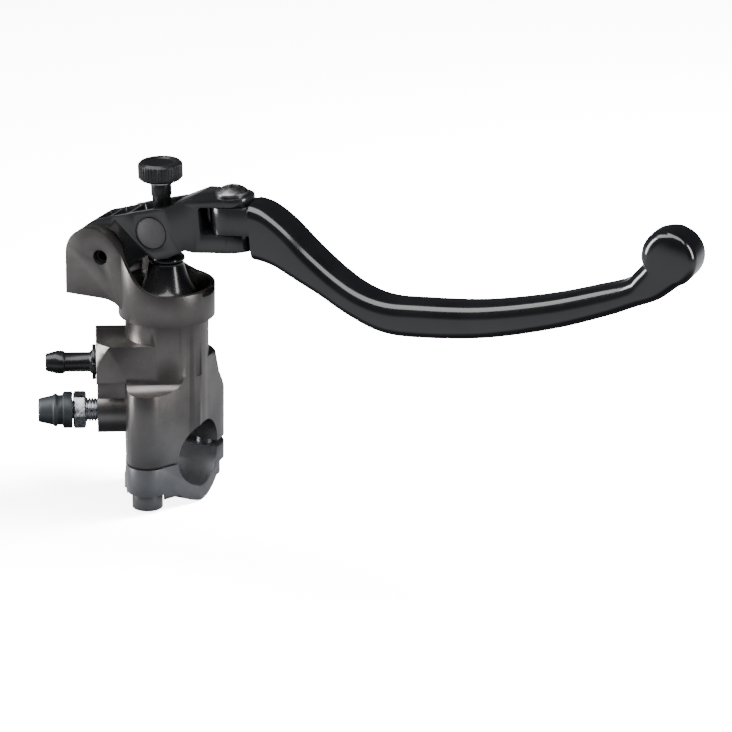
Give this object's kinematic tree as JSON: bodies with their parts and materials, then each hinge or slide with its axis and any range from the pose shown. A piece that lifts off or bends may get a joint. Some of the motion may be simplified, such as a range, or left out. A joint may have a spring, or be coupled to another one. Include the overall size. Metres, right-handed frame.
{
  "type": "brake master cylinder",
  "caption": "Radial brake master cylinder with handlebar clamp, folding lever, reach adjuster knob, hose inlet and bleed screw.",
  "frame": {"origin": "centre of the handlebar bore, halfway along the clamp", "axes": "+X along the handlebar towards the lever tip, +Z along the piston axis towards the lever, +Y towards the underside of the handlebar controls"},
  "size_m": [0.2166, 0.0442, 0.1164],
  "materials": {
    "body": "hard anodised, satin",
    "bolt": "black oxide",
    "piston": "satin",
    "steel": "zinc plated",
    "spring": "bright",
    "seal": "moulded",
    "boot": "moulded, satin",
    "cap": "moulded, matt",
    "lever": "gloss black",
    "knob": "black anodised",
    "nut": "dark satin",
    "bronze": "turned",
    "plastic": "moulded",
    "seat": "moulded"
  },
  "bodies": {
    "housing": {"master_cylinder_body": "body", "handlebar_clamp": "body", "clamp_bolts": "bolt", "return_spring": "spring", "spring_seat": "seat", "thrust_washer": "steel", "circlip": "bolt", "dust_boot": "boot", "pivot_pin": "steel", "pin_retainer": "bolt", "inlet_fitting": "plastic", "inlet_o_ring": "seal", "inlet_clip": "plastic"},
    "piston": {"piston": "piston", "primary_seal": "seal", "secondary_seal": "seal"},
    "lever": {"lever_bracket": "lever", "pivot_bushes": "bronze", "fold_screw": "steel", "fold_nut": "steel"},
    "blade": {"lever_blade": "lever", "fold_bush": "bronze", "fold_spring": "spring"},
    "nut": {"barrel_nut": "nut"},
    "adjuster": {"push_rod": "knob", "adjuster_knob": "knob", "knob_washer": "steel"},
    "bleeder": {"bleed_screw": "steel", "bleed_cap": "cap"}
  },
  "joints": [
    {"name": "lever_pull", "type": "hinge", "parent": "housing", "child": "lever", "pos_m": [-0.018, 0, 0.066], "axis": [0, 1, 0], "range_deg": [0, 18], "stiffness_Nm_per_rad": 2, "springref_deg": -34.38},
    {"name": "piston_slide", "type": "slide", "parent": "housing", "child": "piston", "axis": [0, 0, -1], "range_m": [0, 0.006], "deforming": ["return_spring", "dust_boot"]},
    {"name": "nut_swing", "type": "hinge", "parent": "lever", "child": "nut", "pos_m": [-0.0012, 0, 0.0757], "axis": [0, 1, 0], "range_deg": [-14, 0]},
    {"name": "reach_adjust", "type": "hinge", "parent": "nut", "child": "adjuster", "pos_m": [-0.0012, 0, 0.0757], "axis": [-0.0466, 0, 0.9989], "range_deg": [-360, 360]},
    {"name": "blade_fold", "type": "hinge", "parent": "lever", "child": "blade", "pos_m": [0.02385, 0, 0.0827], "axis": [0.0958, 0, -0.9954], "range_deg": [0, 85], "stiffness_Nm_per_rad": 0.8, "springref_deg": -28.65},
    {"name": "bleed_turn", "type": "hinge", "parent": "housing", "child": "bleeder", "pos_m": [-0.02207, -0.01174, 0.0132], "axis": [-0.8829, -0.4695, 0], "range_deg": [0, 180]}
  ],
  "couplings": [
    {"joint": "piston_slide", "follows": "lever_pull", "m_per_rad": 0.01808},
    {"joint": "nut_swing", "follows": "lever_pull", "ratio": -0.7315}
  ]
}
